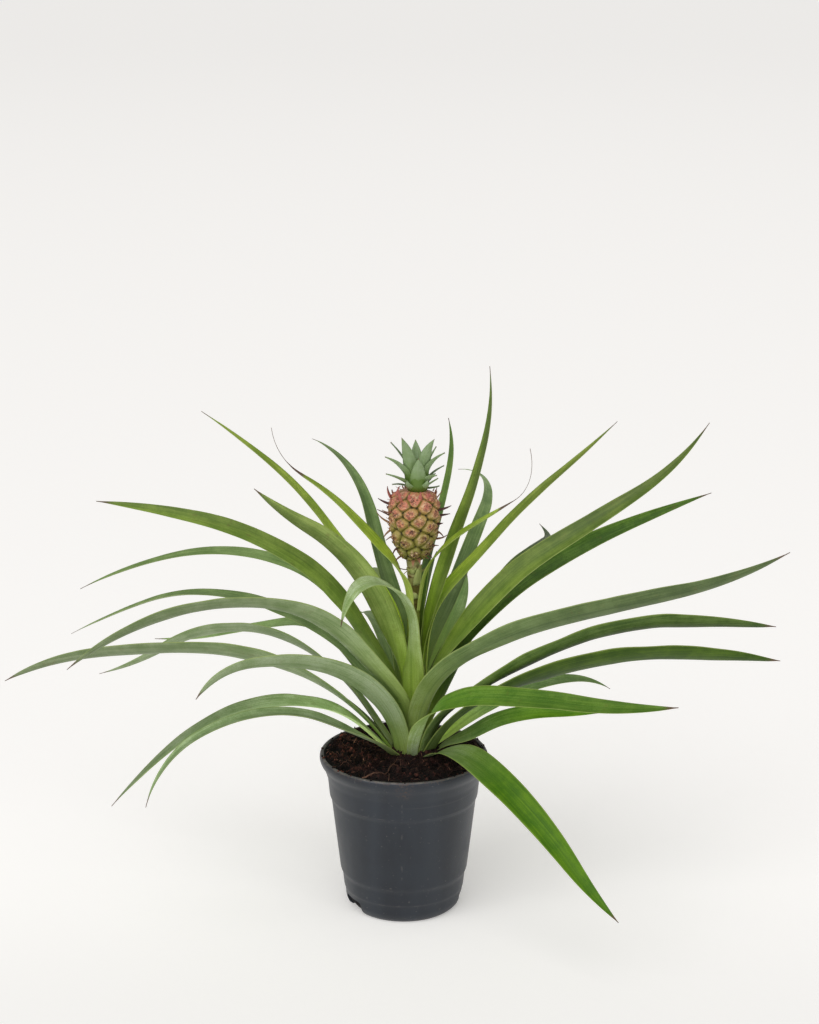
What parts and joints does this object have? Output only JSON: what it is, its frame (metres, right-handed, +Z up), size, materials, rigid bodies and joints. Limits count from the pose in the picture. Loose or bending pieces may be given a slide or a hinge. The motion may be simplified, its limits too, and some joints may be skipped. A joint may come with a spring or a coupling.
{
  "type": "potted miniature pineapple plant",
  "caption": "Miniature pineapple plant with a rosette of long arching leaves and one small crowned fruit, in a tapered grower's pot of dark soil.",
  "frame": {"origin": "centre of the pot's underside, at floor level", "axes": "+Z up; +X along the widest spread of the leaves, to the right seen from the front; -Y towards the front"},
  "size_m": [0.5617, 0.4152, 0.3926],
  "materials": {
    "pot_plastic": "matte, slightly worn",
    "peat_soil": "rough, crumbly",
    "leaf_green": "satin with a waxy bloom",
    "stem_green": "matte",
    "fruit_skin": "satin",
    "crown_green": "satin with a waxy bloom"
  },
  "bodies": {
    "root": {"pot": "pot_plastic", "soil": "peat_soil", "stem": "stem_green", "peduncle": "stem_green", "fruit": "fruit_skin", "crown": "crown_green", "leaf_left_01": "leaf_green", "leaf_left_02": "leaf_green", "leaf_left_03": "leaf_green", "leaf_left_04": "leaf_green", "leaf_left_05": "leaf_green", "leaf_left_06": "leaf_green", "leaf_left_07": "leaf_green", "leaf_left_08": "leaf_green", "leaf_left_09": "leaf_green", "leaf_left_10": "leaf_green", "leaf_left_11": "leaf_green", "leaf_left_12": "leaf_green", "leaf_left_13": "leaf_green", "leaf_left_14": "leaf_green", "leaf_left_15": "leaf_green", "leaf_right_01": "leaf_green", "leaf_right_02": "leaf_green", "leaf_right_03": "leaf_green", "leaf_right_04": "leaf_green", "leaf_right_05": "leaf_green", "leaf_right_06": "leaf_green", "leaf_right_07": "leaf_green", "leaf_right_08": "leaf_green", "leaf_right_09": "leaf_green", "leaf_right_10": "leaf_green", "leaf_right_11": "leaf_green", "leaf_right_12": "leaf_green", "leaf_right_13": "leaf_green", "leaf_right_14": "leaf_green", "leaf_right_15": "leaf_green", "leaf_right_16": "leaf_green", "leaf_back_01": "leaf_green", "leaf_back_02": "leaf_green", "leaf_back_03": "leaf_green"}
  },
  "joints": []
}
